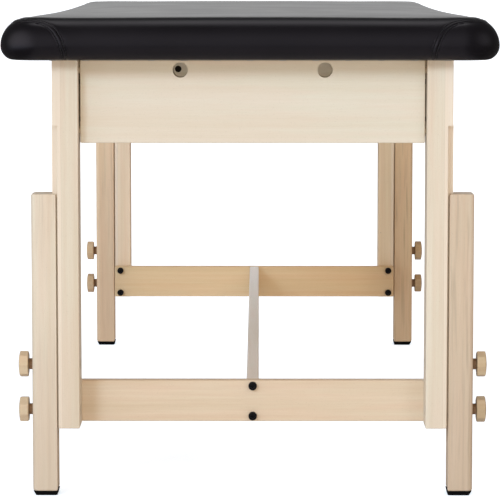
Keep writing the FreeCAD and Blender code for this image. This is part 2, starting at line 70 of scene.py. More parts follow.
def add_node(tree, kind, inputs, **settings):
    """A node with its settings and inputs filled in."""
    made = tree.nodes.new(kind)
    for setting, value in settings.items():
        setattr(made, setting, value)
    for name, value in inputs.items():
        feed(tree, value, made.inputs[name])
    return made


def object_place(tree):
    """The point on the piece, in the frame's own metres."""
    return add_node(tree, "ShaderNodeTexCoord", {}).outputs["Object"]


def stretched(tree, place, shift, scale):
    """A place that is moved and stretched before a pattern reads it."""
    mapping = add_node(tree, "ShaderNodeMapping", {"Vector": place, "Location": shift, "Scale": scale})
    return mapping.outputs["Vector"]


def drawn_out(tree, place, shift, grain, squeeze):
    """A place where patterns are drawn out along the grain."""
    return stretched(tree, place, shift, [squeeze if axis == grain else 1.0 for axis in "XYZ"])


def grainy(tree, place, scale, detail):
    """Noise from 0 to 1 at a place."""
    noise = add_node(tree, "ShaderNodeTexNoise", {"Vector": place, "Scale": scale, "Detail": detail})
    return noise.outputs["Fac"]


def between(tree, value, low, high, start=0.0, end=1.0):
    """A value moved from one range to another, and held inside it."""
    inputs = {"Value": value, "From Min": low, "From Max": high, "To Min": start, "To Max": end}
    return add_node(tree, "ShaderNodeMapRange", inputs).outputs["Result"]


def reckon(tree, operation, first, second=0.0):
    """One step of arithmetic."""
    return add_node(tree, "ShaderNodeMath", {0: first, 1: second}, operation=operation).outputs[0]


def tinted(tree, share, first, second):
    """A colour between two others, each of them plain or from a socket."""
    share_in, first_in, second_in, colour_out = 0, 6, 7, 2
    ends = []
    for colour in (first, second):
        ends.append(colour if isinstance(colour, bpy.types.NodeSocket) else (*colour, 1))
    inputs = {share_in: share, first_in: ends[0], second_in: ends[1]}
    return add_node(tree, "ShaderNodeMix", inputs, data_type="RGBA").outputs[colour_out]


def coat(tree, shader, colour, roughness):
    """Gives the shader a colour and a roughness that vary over the piece."""
    tree.links.new(colour, shader.inputs["Base Color"])
    tree.links.new(roughness, shader.inputs["Roughness"])


def raised(tree, shader, height, strength, distance):
    """Fine relief on the shader's normal."""
    bump = add_node(tree, "ShaderNodeBump", {"Height": height, "Strength": strength, "Distance": distance})
    tree.links.new(bump.outputs["Normal"], shader.inputs["Normal"])


def toned(colour, share):
    """A colour made lighter or darker."""
    return tuple(share * part for part in colour)


def warmed(colour):
    """A rosier version of a wood colour."""
    return (min(1.0, colour[0] * 1.015), colour[1] * 0.98, colour[2] * 0.98)


def facing(tree, axis):
    """How squarely a face looks along an axis, from 0 to 1."""
    normal = add_node(tree, "ShaderNodeTexCoord", {}).outputs["Normal"]
    parts = add_node(tree, "ShaderNodeSeparateXYZ", {"Vector": normal})
    return reckon(tree, "ABSOLUTE", parts.outputs[axis])


def grain_lines(tree, place, grain, shift):
    """Growth lines, broad patches and fibres of a board, each from 0 to 1."""
    board = drawn_out(tree, place, shift, grain, squeeze=0.045)
    rings = add_node(tree, "ShaderNodeTexWave", {
        "Vector": board, "Scale": 42.0, "Distortion": 9.0, "Detail": 3.0, "Detail Scale": 0.55,
    }, wave_type="RINGS", rings_direction=grain)
    patches = grainy(tree, board, scale=34.0, detail=4.0)
    fibres = grainy(tree, board, scale=620.0, detail=5.0)
    return rings.outputs["Fac"], patches, fibres


def beech(name, grain, pale, deep, shift, figure=1.0, outer_board=None, painted_floor_shade=0.0, streaky=0.0):
    """Lacquered beech with its grain along one axis, ray flecks, pin knots and darker end grain, and, if
    asked, painted shade darker towards the floor.
    """
    material, tree, shader = start_material(name)
    place = object_place(tree)
    rings, patches, fibres = grain_lines(tree, place, grain, shift)
    streaks = grainy(tree, drawn_out(tree, place, shift, grain, squeeze=0.016), scale=120.0, detail=3.0)
    lines = reckon(tree, "MULTIPLY", rings, 0.1 * figure)
    cloud = between(tree, patches, low=0.34, high=0.66, end=0.45 * figure)
    thread = between(tree, fibres, low=0.35, high=0.65, end=0.18)
    streak = between(tree, streaks, low=0.36, high=0.66, end=0.42 * figure)
    depth = reckon(tree, "ADD", reckon(tree, "ADD", lines, cloud), reckon(tree, "ADD", thread, streak))
    blushes = grainy(tree, drawn_out(tree, place, shift, grain, squeeze=0.1), scale=55.0, detail=2.0)
    blush = between(tree, blushes, low=0.4, high=0.6)
    pale_tint = tinted(tree, blush, pale, warmed(pale))
    deep_tint = tinted(tree, blush, deep, warmed(deep))
    colour = tinted(tree, depth, pale_tint, deep_tint)
    if streaky:
        veins = grainy(tree, drawn_out(tree, place, shift, grain, squeeze=0.035), scale=230.0, detail=4.0)
        vein_share = between(tree, veins, low=0.5, high=0.7, end=streaky)
        colour = tinted(tree, vein_share, colour, toned(deep, share=0.6))
    flecks = grainy(tree, drawn_out(tree, place, shift, grain, squeeze=0.22), scale=1500.0, detail=1.0)
    fleck_share = between(tree, flecks, low=0.66, high=0.74, end=0.3)
    colour = tinted(tree, fleck_share, colour, toned(deep, share=0.66))
    knot_place = stretched(tree, place, shift, (1, 1, 1))
    knots = add_node(tree, "ShaderNodeTexVoronoi", {"Vector": knot_place, "Scale": 15.0})
    knot_share = between(tree, knots.outputs["Distance"], low=0.014, high=0.024, start=0.8, end=0.0)
    colour = tinted(tree, knot_share, colour, toned(deep, share=0.22))
    parts = add_node(tree, "ShaderNodeSeparateXYZ", {"Vector": place})
    if outer_board is not None:
        colour = glued_board(tree, parts, colour, outer_board)
    # Painted shade: the wood is painted darker towards the floor, standing in for the light falling off
    # near the floor.
    if painted_floor_shade:
        floor_shade_share = between(tree, parts.outputs["Z"], low=0.32, high=0.0, end=painted_floor_shade)
        colour = tinted(tree, floor_shade_share, colour, warmed(toned(deep, share=0.8)))
    pores = between(tree, grainy(tree, place, scale=2400.0, detail=2.0), low=0.4, high=0.62)
    end_grain = tinted(tree, pores, toned(deep, share=0.98), toned(deep, share=0.82))
    end_on = between(tree, facing(tree, grain), low=0.8, high=0.97)
    colour = tinted(tree, end_on, colour, end_grain)
    coat(tree, shader, colour, between(tree, fibres, low=0.3, high=0.7, start=0.38, end=0.52))
    shader.inputs["Coat Weight"].default_value = 0.1
    shader.inputs["Coat Roughness"].default_value = 0.3
    raised(tree, shader, fibres, strength=0.1, distance=0.0006)
    return material


def glued_board(tree, parts, colour, joint):
    """A paler outer board past a glue line, at a distance from the middle of the table."""
    outer_wood = (0.90, 0.79, 0.66)
    glue_brown = (0.42, 0.29, 0.17)
    glue_half_width = 0.0003
    glue_share = 0.22
    nearness_in = 2
    out = reckon(tree, "ABSOLUTE", parts.outputs["X"])
    paler = tinted(tree, 0.5, colour, outer_wood)
    colour = tinted(tree, reckon(tree, "GREATER_THAN", out, joint), colour, paler)
    glue = reckon(tree, "COMPARE", out, joint)
    glue.node.inputs[nearness_in].default_value = glue_half_width
    return tinted(tree, reckon(tree, "MULTIPLY", glue, glue_share), colour, glue_brown)


def dress(names, material):
    """Gives CAD nodes a material in place of the plain one."""
    for name in names:
        mesh = cad_nodes[name].data
        mesh.materials.clear()
        mesh.materials.append(material)


head_board = beech("head_apron_beech", "X", apron_pale, apron_deep, (0.0, 0.74, -0.47), figure=0.6)
foot_board = beech("foot_apron_beech", "X", apron_pale, apron_deep, (0.4, -0.95, -0.52), figure=0.8)
dress(["head_apron"], head_board)
dress(["foot_apron"], foot_board)


# Side aprons: the long boards between the head and foot legs, of the same lacquered beech.
# Their grain runs along the table, and the deck bearers are dowelled to them.
for number, name in enumerate(["left_side_apron", "right_side_apron"]):
    shift = (0.2 + 0.3 * number, 0.0, -0.5)
    dress([name], beech(name + "_beech", "Y", apron_pale, apron_deep, shift, figure=0.8))


# Inner frame pieces: deck bearers, face-rest socket blocks, corner blocks and dowels.
# They are sawn from plainer beech and left bare, so they are duller; the sockets are painted much paler,
# painted light for the bottoms of their bores, which lie in shade, and the left one has a smaller hole at
# the back of its bore, painted black inside as painted shade.
bare_pale = (0.76, 0.64, 0.47)
bare_deep = (0.63, 0.49, 0.33)
# Painted light: the sockets are painted much paler, standing in for light that can't reach the bottoms of
# their bores.
socket_painted_pale = (0.93, 0.88, 0.78)
socket_painted_deep = (0.85, 0.78, 0.66)
drilled_x = -0.1145
drilled_z = 0.6525
drilled_radius = 0.0050


def bare_wood(name, grain, shift, pale=bare_pale, deep=bare_deep, shade_in_hole=False):
    """Sawn wood with no lacquer, saw marks across its grain, and, if asked, its small drilled hole painted
    black inside as painted shade.
    """
    material, tree, shader = start_material(name)
    place = object_place(tree)
    rings, patches, fibres = grain_lines(tree, place, grain, shift)
    lines = reckon(tree, "MULTIPLY", rings, 0.4)
    cloud = reckon(tree, "MULTIPLY", patches, 0.5)
    colour = tinted(tree, reckon(tree, "ADD", lines, cloud), pale, deep)
    if shade_in_hole:
        # Painted shade: the inside of the small drilled hole is painted nearly black, for the shade deep
        # in it.
        hole_shade_black = (0.012, 0.009, 0.007)
        from_hole = stretched(tree, place, (-drilled_x, 0, -drilled_z), (1, 0, 1))
        reach = add_node(tree, "ShaderNodeVectorMath", {0: from_hole}, operation="LENGTH")
        inside = reckon(tree, "LESS_THAN", reach.outputs["Value"], drilled_radius)
        colour = tinted(tree, inside, colour, hole_shade_black)
    coat(tree, shader, colour, between(tree, fibres, low=0.3, high=0.7, start=0.62, end=0.78))
    saw_marks = add_node(tree, "ShaderNodeTexWave", {
        "Vector": place, "Scale": 260.0, "Distortion": 1.5, "Detail": 1.0,
    }, wave_type="BANDS", bands_direction=grain)
    sawn = reckon(tree, "MULTIPLY", saw_marks.outputs["Fac"], 0.3)
    raised(tree, shader, reckon(tree, "ADD", fibres, sawn), strength=0.25, distance=0.0006)
    return material


bearers = ["deck_bearer_head", "deck_bearer_middle", "deck_bearer_foot"]
left_socket = bare_wood(
    "drilled_socket_wood", "X", (0.2, 0.7, -0.5), socket_painted_pale, socket_painted_deep, shade_in_hole=True)
right_socket = bare_wood("socket_wood", "X", (0.1, 0.7, -0.5), socket_painted_pale, socket_painted_deep)
dress(bearers, bare_wood("bearer_wood", "X", (0, 0.3, -0.4)))
dress(["left_face_rest_socket"], left_socket)
dress(["right_face_rest_socket"], right_socket)
dress(["corner_blocks"], bare_wood("block_wood", "Z", (0.1, 0.4, 0.0)))
dress(["frame_dowels"], bare_wood("dowel_wood", "X", (0.0, 0.2, 0.3)))


# Bolts of the frame: black socket-head bolts, two at each rail joint and at each corner block.
# They are blackened steel with a thin, uneven film of oil.
def blackened_steel(name):
    """Black oxide on steel, blotchy and slightly rubbed."""
    oiled = (0.005, 0.005, 0.006)
    rubbed = (0.012, 0.011, 0.012)
    material, tree, shader = start_material(name)
    place = object_place(tree)
    blotches = between(tree, grainy(tree, place, scale=420.0, detail=4.0), low=0.35, high=0.7)
    rubs = grainy(tree, drawn_out(tree, place, (0, 0, 0), "Z", squeeze=0.2), scale=1800.0, detail=3.0)
    roughness = between(tree, rubs, low=0.3, high=0.7, start=0.34, end=0.52)
    coat(tree, shader, tinted(tree, blotches, oiled, rubbed), roughness)
    shader.inputs["Metallic"].default_value = 0.1
    shader.inputs["Specular IOR Level"].default_value = 0.12
    raised(tree, shader, rubs, strength=0.08, distance=0.0002)
    return material


dress(["rail_bolts", "stretcher_bolts", "corner_bolts"], blackened_steel("black_bolt_steel"))


# Plated hardware: clamp bolts, inserts, barrel nuts and screws in zinc-plated steel.
# Most of it is inside the wood; the bolt heads and shanks show in the legs' recesses and slots.
def plated_steel(name):
    """Zinc plate on steel, with faint lengthwise drawing marks."""
    bright = (0.62, 0.62, 0.63)
    dull = (0.50, 0.50, 0.50)
    material, tree, shader = start_material(name)
    place = object_place(tree)
    marks = grainy(tree, drawn_out(tree, place, (0, 0, 0), "X", squeeze=0.15), scale=2600.0, detail=3.0)
    bloom = between(tree, grainy(tree, place, scale=300.0, detail=3.0), low=0.35, high=0.65)
    roughness = between(tree, marks, low=0.3, high=0.7, start=0.26, end=0.42)
    coat(tree, shader, tinted(tree, bloom, bright, dull), roughness)
    shader.inputs["Metallic"].default_value = 1.0
    raised(tree, shader, marks, strength=0.06, distance=0.0002)
    return material


zinc = plated_steel("zinc_plate")
dress(["clamp_bolts", "rail_inserts", "barrel_nuts", "corner_screws", "deck_screws"], zinc)


# Upper legs: fixed posts of lacquered beech, each glued up with a paler outer board that makes the
# shoulder and the tongue. The grain is upright. The foot posts are painted paler as painted light, because
# the top keeps light off them, and all posts are painted darker towards the floor as painted shade.
glue_line = 0.291
upper_leg_tones = {
    "head_left": (0.795, 0.735, 0.605),
    "head_right": (0.815, 0.76, 0.63),
    # Painted light: the foot posts are paler than the head ones to make up for the light the top keeps off
    # them.
    "foot_left": (0.93, 0.80, 0.61),
    "foot_right": (0.92, 0.82, 0.62),
}


def deeper(colour):
    """The darker tone that goes with a pale cut of beech."""
    return (colour[0] * 0.885, colour[1] * 0.82, colour[2] * 0.755)


for number, (leg, pale) in enumerate(upper_leg_tones.items()):
    shift = (0.17 * number, 0.11 - 0.2 * number, 0.3 * number)
    post = beech(
        "upper_leg_" + leg + "_beech", "Z", pale, deeper(pale), shift,
        outer_board=glue_line, painted_floor_shade=0.3)
    dress(["upper_leg_" + leg], post)


# Cross rails: boards lapped on the legs near the floor, bolted from inside, and the stretcher on edge
# between them. Their grain runs lengthwise; the rails are a warmer cut of the same wood, and the stretcher
# is painted very pale as painted light, because its top lies in the shade under the padded top.
head_rail_pale = (0.77, 0.655, 0.495)
head_rail_deep = (0.675, 0.53, 0.365)
foot_rail_pale = (0.755, 0.585, 0.36)
foot_rail_deep = (0.67, 0.475, 0.265)
# Painted light: the stretcher's pale colours stand in for the light its top doesn't get under the padded
# top.
stretcher_painted_pale = (0.92, 0.89, 0.82)
stretcher_painted_deep = (0.85, 0.81, 0.72)
head_rail = beech("head_rail_beech", "X", head_rail_pale, head_rail_deep, (0.3, 0.77, -0.05))
foot_rail = beech("foot_rail_beech", "X", foot_rail_pale, foot_rail_deep, (0.8, -0.9, -0.03))
stretcher = beech("stretcher_beech", "Y", stretcher_painted_pale, stretcher_painted_deep, (0.06, 0.2, -0.02))
dress(["head_cross_rail"], head_rail)
dress(["foot_cross_rail"], foot_rail)
dress(["centre_stretcher"], stretcher)


# Leg extensions: outer posts that slide on the tongues, with a slot for the clamp bolts.
# They are lacquered beech with upright grain; those on the right are darker and streakier, and all are
# painted darker towards the floor as painted shade.
extension_tones = {
    "head_left": (0.79, 0.725, 0.595),
    "head_right": (0.71, 0.615, 0.48),
    "foot_left": (0.84, 0.665, 0.465),
    "foot_right": (0.775, 0.625, 0.43),
}
extension_streaks = {"head_left": 0.2, "head_right": 0.5, "foot_left": 0.25, "foot_right": 0.7}
for number, (leg, pale) in enumerate(extension_tones.items()):
    shift = (0.31 + 0.23 * number, 0.5 - 0.13 * number, 0.2 * number)
    post = beech(
        "extension_" + leg + "_beech", "Z", pale, deeper(pale), shift,
        painted_floor_shade=0.6, streaky=extension_streaks[leg])
    dress(["leg_extension_" + leg], post)


# Feet: moulded black rubber pads, tapered towards the floor, with a matt skin.
# Each is held under its leg extension by one plated screw.
def foot_rubber(name):
    """Matt moulded rubber with a fine even grain and dust in it."""
    clean = (0.003, 0.003, 0.0035)
    dusty = (0.008, 0.0075, 0.0075)
    material, tree, shader = start_material(name)
    place = object_place(tree)
    grain = grainy(tree, place, scale=2200.0, detail=3.0)
    dust = between(tree, grainy(tree, place, scale=160.0, detail=4.0), low=0.5, high=0.8)
    roughness = between(tree, grain, low=0.3, high=0.7, start=0.58, end=0.74)
    coat(tree, shader, tinted(tree, dust, clean, dusty), roughness)
    shader.inputs["Specular IOR Level"].default_value = 0.07
    raised(tree, shader, grain, strength=0.2, distance=0.0004)
    return material


dress(["foot_pad_" + leg for leg in upper_leg_tones], foot_rubber("foot_rubber"))
dress(["foot_screw_" + leg for leg in upper_leg_tones], zinc)


# Clamp knobs: eight-sided hand knobs of beech, each on a plated bolt, in differing tones. Their grain runs
# along the bolt, so the domed faces show end grain, and no two are quite alike; the right-hand ones are
# darker, partly their own tone and partly painted shade, the light coming from the left, and the lower
# knob of each pair is a little darker.
# Partly painted shade: the right-hand knobs are darker, partly for the shade they lie in away from the
# light on the left.
knob_tones = {
    "head_left": (0.73, 0.61, 0.43),
    "head_right": (0.60, 0.48, 0.31),
    "foot_left": (0.68, 0.52, 0.33),
    "foot_right": (0.50, 0.37, 0.22),
}
levels = {"lower": 0.93, "upper": 1.0}
for number, (leg, pale) in enumerate(knob_tones.items()):
    for step, (level, share) in enumerate(levels.items()):
        shift = (0.2 * number, 0.3 * number + 0.1 * step, 0.07 * number - 0.2 * step)
        cut = toned(pale, share)
        knob = beech("knob_" + leg + "_" + level, "X", cut, deeper(cut), shift)
        dress(["clamp_knob_" + leg + "_" + level], knob)


# Collars: round spacers between the knobs and the legs, loose on the clamp bolts.
# They are turned in wood and coloured dark brown.
collar_pale = (0.34, 0.21, 0.115)
collar_deep = (0.22, 0.125, 0.06)
collar_brown = beech("brown_collar_wood", "X", collar_pale, collar_deep, (0.3, 0.1, 0.2))
dress(["knob_collar_" + leg + "_" + level for leg in upper_leg_tones for level in levels], collar_brown)


# Deck: a sheet of plywood under the foam, seen only from below, screwed to the bearers.
# Its face grain runs lengthwise, and its plies show on the edges.
def plywood(name):
    """Rotary-cut face veneer, and plies that alternate on the edges."""
    pale_veneer = (0.66, 0.52, 0.36)
    deep_veneer = (0.50, 0.37, 0.23)
    dark_ply = (0.42, 0.29, 0.17)
    light_ply = (0.62, 0.48, 0.32)
    material, tree, shader = start_material(name)
    place = object_place(tree)
    patches, fibres = grain_lines(tree, place, "Y", (0.6, 0.1, 0.0))[1:]
    cloud = reckon(tree, "MULTIPLY", patches, 0.75)
    thread = reckon(tree, "MULTIPLY", fibres, 0.25)
    depth = between(tree, reckon(tree, "ADD", cloud, thread), low=0.3, high=0.7)
    plies = add_node(tree, "ShaderNodeTexWave", {
        "Vector": place, "Scale": 130.0, "Distortion": 0.3,
    }, wave_type="BANDS", bands_direction="Z")
    face = tinted(tree, depth, pale_veneer, deep_veneer)
    edge = tinted(tree, plies.outputs["Fac"], dark_ply, light_ply)
    flat = between(tree, facing(tree, "Z"), low=0.4, high=0.6)
    roughness = between(tree, fibres, low=0.3, high=0.7, start=0.6, end=0.75)
    coat(tree, shader, tinted(tree, flat, edge, face), roughness)
    raised(tree, shader, fibres, strength=0.2, distance=0.0005)
    return material


dress(["deck_panel"], plywood("deck_plywood"))


# Padded top: foam on the deck under a smooth black synthetic leather cover, pulled over the
# edges and stapled underneath. It has a flat crown, a full rounded edge and drawn-in sides,
# it sits a little to the left on its frame, and it stands for the cover and both layers of foam.
pad_low, pad_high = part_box("upholstery_cover")
pad_middle = Vector((-0.0040, 0, 0))
side_ease = -0.0013
end_ease = 0.0005
pad_half_width = pad_high.x + side_ease
pad_half_length = pad_high.y + end_ease
underside = pad_low.z
corner_radius = 0.060
lower_radius = 0.0218
upper_radius = 0.0430
side_draw_in = 0.0025
side_sag = 0.005
crown = 0.0022
widest = underside + lower_radius
shoulder_height = widest + upper_radius
straight_width = pad_half_width - corner_radius
straight_length = pad_half_length - corner_radius
opening_half_width = 0.322
opening_half_length = 0.889
hem_top = 0.676


def side_stops(half):
    """Places along one straight side, close together near its two ends."""
    fine_step = 0.005
    fine_count = 19
    coarse_step = 0.03
    fine = [half - fine_step * step for step in range(fine_count)]
    reach = fine[-1]
    count = max(2, round(2 * reach / coarse_step))
    coarse = [reach - 2 * reach * step / count for step in range(1, count)]
    return fine + coarse + [-place for place in reversed(fine)]


def outline_stops():
    """Round the plan outline: a point on the inner rectangle, the way out, and the draw-in there."""
    stops = []
    arc_steps = 20
    for turn in range(4):
        quarter = turn * math.pi / 2
        out = Vector((round(math.cos(quarter)), round(math.sin(quarter)), 0))
        along = Vector((-out.y, out.x, 0))
        half = straight_length if turn % 2 == 0 else straight_width
        reach = straight_width if turn % 2 == 0 else straight_length
        for place in side_stops(half):
            drawn = side_draw_in * (1 - (place / half) ** 2)
            stops.append((out * reach - along * place, out, drawn))
        corner = out * reach + along * half
        for step in range(1, arc_steps):
            angle = quarter + step * math.pi / 2 / arc_steps
            stops.append((corner, Vector((math.cos(angle), math.sin(angle), 0)), 0.0))
    return stops


def edge_sag(y):
    """How far the long sides' upper edge is drawn down between the corners."""
    return side_sag * max(0.0, 1 - (y / straight_length) ** 2)


def top_height(x, y):
    """Height of the top face, with its crown and its sagging sides."""
    across = max(0.0, 1 - (x / (pad_half_width - upper_radius)) ** 2)
    lengthwise = max(0.0, 1 - (y / (pad_half_length - upper_radius)) ** 2)
    sag = edge_sag(y) * min(1.0, (x / (pad_half_width - upper_radius)) ** 4)
    return shoulder_height + crown * across * lengthwise - sag


def edge_profile():
    """The pad's edge from underneath to the top: inset from the outline, and height."""
    profile = []
    lower_steps = 8
    upper_steps = 12
    for step in range(lower_steps):
        angle = math.pi / 2 * (1 - step / lower_steps)
        profile.append((lower_radius * (1 - math.cos(angle)), widest - lower_radius * math.sin(angle)))
    for step in range(upper_steps + 1):
        angle = math.pi / 2 * step / upper_steps
        profile.append((upper_radius * (1 - math.cos(angle)), widest + upper_radius * math.sin(angle)))
    return profile


def pad_rows(stops):
    """Rows of points from the hem under the deck, round the edge, to the middle of the top."""
    hem_corner = 0.015
    hem_steps = (0.0, 0.06, 0.35, 0.68)
    rim_step = 0.005
    rim_width = 0.012
    top_steps = (0.035, 0.08, 0.14, 0.22, 0.32, 0.43, 0.55, 0.67, 0.78, 0.88, 0.95, 1.0)
    hem = []
    for base, out, _ in stops:
        share = Vector((
            base.x / straight_width * (opening_half_width - hem_corner),
            base.y / straight_length * (opening_half_length - hem_corner), 0))
        hem.append(share + out * hem_corner)
    profile = edge_profile()
    rows = [[point + Vector((0, 0, hem_top)) for point in hem]]
    first_inset = profile[0][0]
    for step in hem_steps:
        row = []
        for point, (base, out, drawn) in zip(hem, stops):
            tangent = base + out * (corner_radius - first_inset - drawn)
            row.append(point.lerp(tangent, step) + Vector((0, 0, underside)))
        rows.append(row)
    for inset, height in profile:
        row = []
        for base, out, drawn in stops:
            drawn_down = edge_sag(base.y) * max(0.0, height - widest) / upper_radius
            row.append(base + out * (corner_radius - inset - drawn) + Vector((0, 0, height - drawn_down)))
        rows.append(row)
    last_inset = profile[-1][0]
    for inset in (last_inset + rim_step, last_inset + rim_width, corner_radius):
        row = []
        for base, out, drawn in stops:
            point = base + out * (corner_radius - inset - drawn)
            row.append(point + Vector((0, 0, top_height(point.x, point.y))))
        rows.append(row)
    for share in top_steps:
        shorter = (straight_length - share * straight_width) / straight_length
        row = []
        for base, out, drawn in stops:
            point = Vector((base.x * (1 - share), base.y * shorter, 0)) - out * drawn * (1 - share)
            row.append(point + Vector((0, 0, top_height(point.x, point.y))))
        rows.append(row)
    return rows


def only(piece):
    """Makes one piece the selected and active one."""
    bpy.ops.object.select_all(action="DESELECT")
    piece.select_set(True)
    bpy.context.view_layer.objects.active = piece


def new_piece(name, points, faces):
    """A mesh object at the origin from points and faces."""
    mesh = bpy.data.meshes.new(name)
    mesh.from_pydata([tuple(point) for point in points], [], faces)
    piece = bpy.data.objects.new(name, mesh)
    bpy.context.scene.collection.objects.link(piece)
    return piece


def edit_all(piece):
    """Opens one piece in edit mode with all of it selected."""
    only(piece)
    bpy.ops.object.mode_set(mode="EDIT")
    bpy.ops.mesh.select_all(action="SELECT")


def padded_form(name):
    """The pad as rows of quads, with its middle line merged and its hem open."""
    merge_gap = 0.0004
    stops = outline_stops()
    rows = pad_rows(stops)
    count = len(stops)
    points = [point + pad_middle for row in rows for point in row]
    faces = []
    for row in range(len(rows) - 1):
        for place in range(count):
            after = (place + 1) % count
            faces.append((
                row * count + place, row * count + after,
                (row + 1) * count + after, (row + 1) * count + place))
    pad = new_piece(name, points, faces)
    edit_all(pad)
    bpy.ops.mesh.remove_doubles(threshold=merge_gap)
    bpy.ops.mesh.normals_make_consistent(inside=False)
    bpy.ops.object.mode_set(mode="OBJECT")
    return pad


def mesh_points(mesh):
    """All of a mesh's points as an array."""
    flat = np.zeros(len(mesh.vertices) * 3)
    mesh.vertices.foreach_get("co", flat)
    return flat.reshape(-1, 3)


def puff_up(pad, most):
    """Tightens the cover over its foam by cloth under light pressure, held at the hem."""
    frames = 20
    held_height = underside + 0.002
    rest = mesh_points(pad.data)
    held = [v.index for v in pad.data.vertices if v.co.z < held_height]
    hem = pad.vertex_groups.new(name="hem")
    hem.add(held, 1.0, "REPLACE")
    cover = pad.modifiers.new("cover", "CLOTH")
    cover.settings.quality = 6
    cover.settings.mass = 0.4
    cover.settings.tension_stiffness = 40
    cover.settings.compression_stiffness = 40
    cover.settings.bending_stiffness = 2
    cover.settings.use_pressure = True
    cover.settings.uniform_pressure_force = 4
    cover.settings.effector_weights.gravity = 0
    cover.settings.vertex_group_mass = "hem"
    for number in range(1, frames + 1):
        bpy.context.scene.frame_set(number)
    view_layer = bpy.context.evaluated_depsgraph_get()
    swollen = mesh_points(pad.evaluated_get(view_layer).data)
    pad.modifiers.remove(cover)
    bpy.context.scene.frame_set(1)
    moved = swollen - rest
    length = np.linalg.norm(moved, axis=1, keepdims=True)
    eased = moved * most / (most + length)
    pad.data.vertices.foreach_set("co", (rest + eased).ravel())
    pad.data.update()


def subdivided(piece, levels):
    """One applied subdivision surface."""
    only(piece)
    smooth = piece.modifiers.new("smooth", "SUBSURF")
    smooth.levels = levels
    smooth.render_levels = levels
    bpy.ops.object.modifier_apply(modifier=smooth.name)


def close_hem(pad):
    """Fills the opening under the deck, where the hem's edge is out of sight."""
    edit_all(pad)
    bpy.ops.mesh.select_mode(type="EDGE")
    bpy.ops.mesh.select_all(action="DESELECT")
    bpy.ops.mesh.select_non_manifold(extend=False, use_wire=False, use_multi_face=False, use_verts=False)
    bpy.ops.mesh.edge_face_add()
    bpy.ops.object.mode_set(mode="OBJECT")


most_swell = 0.0016
pad = padded_form("padded_top")
puff_up(pad, most_swell)
subdivided(pad, 1)
close_hem(pad)


# Sewn corner pieces: each corner of the cover is a separate rounded piece, let in under an arch.
# A narrow raised band of folded leather runs along the arch between two rows of stitching.
seam_half_widths = {-1: 0.0893, 1: 0.0919}
seam_height = 0.060
seam_foot = underside + 0.0006
arch_across = 6.0
arch_up = 1.35
seam_steps = 160


def corner_arch(side, end):
    """The line of one corner's seam on the pad's form, from its end face round to its side face."""
    quarter_arc = corner_radius * math.pi / 4
    corner = Vector((side * straight_width, end * straight_length, 0)) + pad_middle
    line = []
    for step in range(seam_steps + 1):
        angle = math.pi * step / seam_steps
        round_share = abs(math.cos(angle)) ** (2 / arch_across)
        run = math.copysign(seam_half_widths[side] * round_share, math.cos(angle))
        height = seam_foot + seam_height * math.sin(angle) ** (2 / arch_up)
        radius = upper_radius if height > widest else lower_radius
        rise = min(1.0, abs(height - widest) / radius)
        inset = radius * (1 - math.sqrt(1 - rise * rise))
        bend = math.pi / 4 + max(-quarter_arc, min(quarter_arc, run)) / corner_radius
        out = Vector((side * math.cos(bend), end * math.sin(bend), 0))
        past = max(0.0, abs(run) - quarter_arc)
        along = Vector((-side * past, 0, 0)) if run > 0 else Vector((0, -end * past, 0))
        line.append(corner + along + out * (corner_radius - inset) + Vector((0, 0, height)))
    return line


def press_in(pad, line, depth, spread):
    """Draws the pad in along a line, most at the line itself."""
    mesh = pad.data
    points = mesh_points(mesh)
    normals = np.zeros(len(mesh.vertices) * 3)
    mesh.vertices.foreach_get("normal", normals)
    normals = normals.reshape(-1, 3)
    path = np.array([tuple(point) for point in line])
    near = np.all((points > path.min(0) - 3 * spread) & (points < path.max(0) + 3 * spread), axis=1)
    zone = points[near]
    gap = np.full(len(zone), np.inf)
    for point in path:
        gap = np.minimum(gap, np.linalg.norm(zone - point, axis=1))
    points[near] -= normals[near] * (depth * np.exp(-(gap / spread) ** 2))[:, None]
    mesh.vertices.foreach_set("co", points.ravel())
    mesh.update()


def surface_of(piece):
    """A quick search for the nearest point on a piece."""
    points = [v.co.copy() for v in piece.data.vertices]
    return BVHTree.FromPolygons(points, [tuple(face.vertices) for face in piece.data.polygons])


def laid_on(surface, line):
    """A line moved on to a surface, with the way out at each point."""
    laid = []
    for point in line:
        place, normal, *_ = surface.find_nearest(point)
        laid.append((place, normal))
    return laid


def swept(laid, section):
    """Points and faces of a closed section carried along a line on a surface."""
    points = []
    faces = []
    count = len(section)
    for step, (place, out) in enumerate(laid):
        before = laid[max(0, step - 1)][0]
        after = laid[min(len(laid) - 1, step + 1)][0]
        ahead = (after - before).normalized()
        across = ahead.cross(out).normalized()
        up = across.cross(ahead).normalized()
        size = len(points)
        points += [place + across * a + up * b for a, b in section]
        if step:
            for corner in range(count):
                following = (corner + 1) % count
                faces.append((
                    size - count + corner, size - count + following, size + following, size + corner))
    faces.append(tuple(reversed(range(count))))
    faces.append(tuple(range(len(points) - count, len(points))))
    return points, faces


def oval(half_width, half_height, lift, sides):
    """A flat oval section, lifted off the surface."""
    turns = [2 * math.pi * side / sides for side in range(sides)]
    return [(half_width * math.cos(turn), lift + half_height * math.sin(turn)) for turn in turns]


def even_steps(laid, spacing):
    """Points along a laid line at even distances, each with the way out there."""
    kept = []
    travelled = 0.0
    wanted = 0.0
    for (start, out), (stop, out_after) in zip(laid, laid[1:]):
        length = (stop - start).length
        while wanted <= travelled + length:
            share = (wanted - travelled) / length
            kept.append((start.lerp(stop, share), out.lerp(out_after, share).normalized()))
            wanted += spacing
        travelled += length
    return kept


seam_depth = 0.0013
seam_spread = 0.0048
band_step = 0.0022
stitch_offset = 0.0031
thread_section = oval(0.00036, 0.00032, 0.0, 6)
stitch_length = 0.0032
stitch_spacing = 0.0043


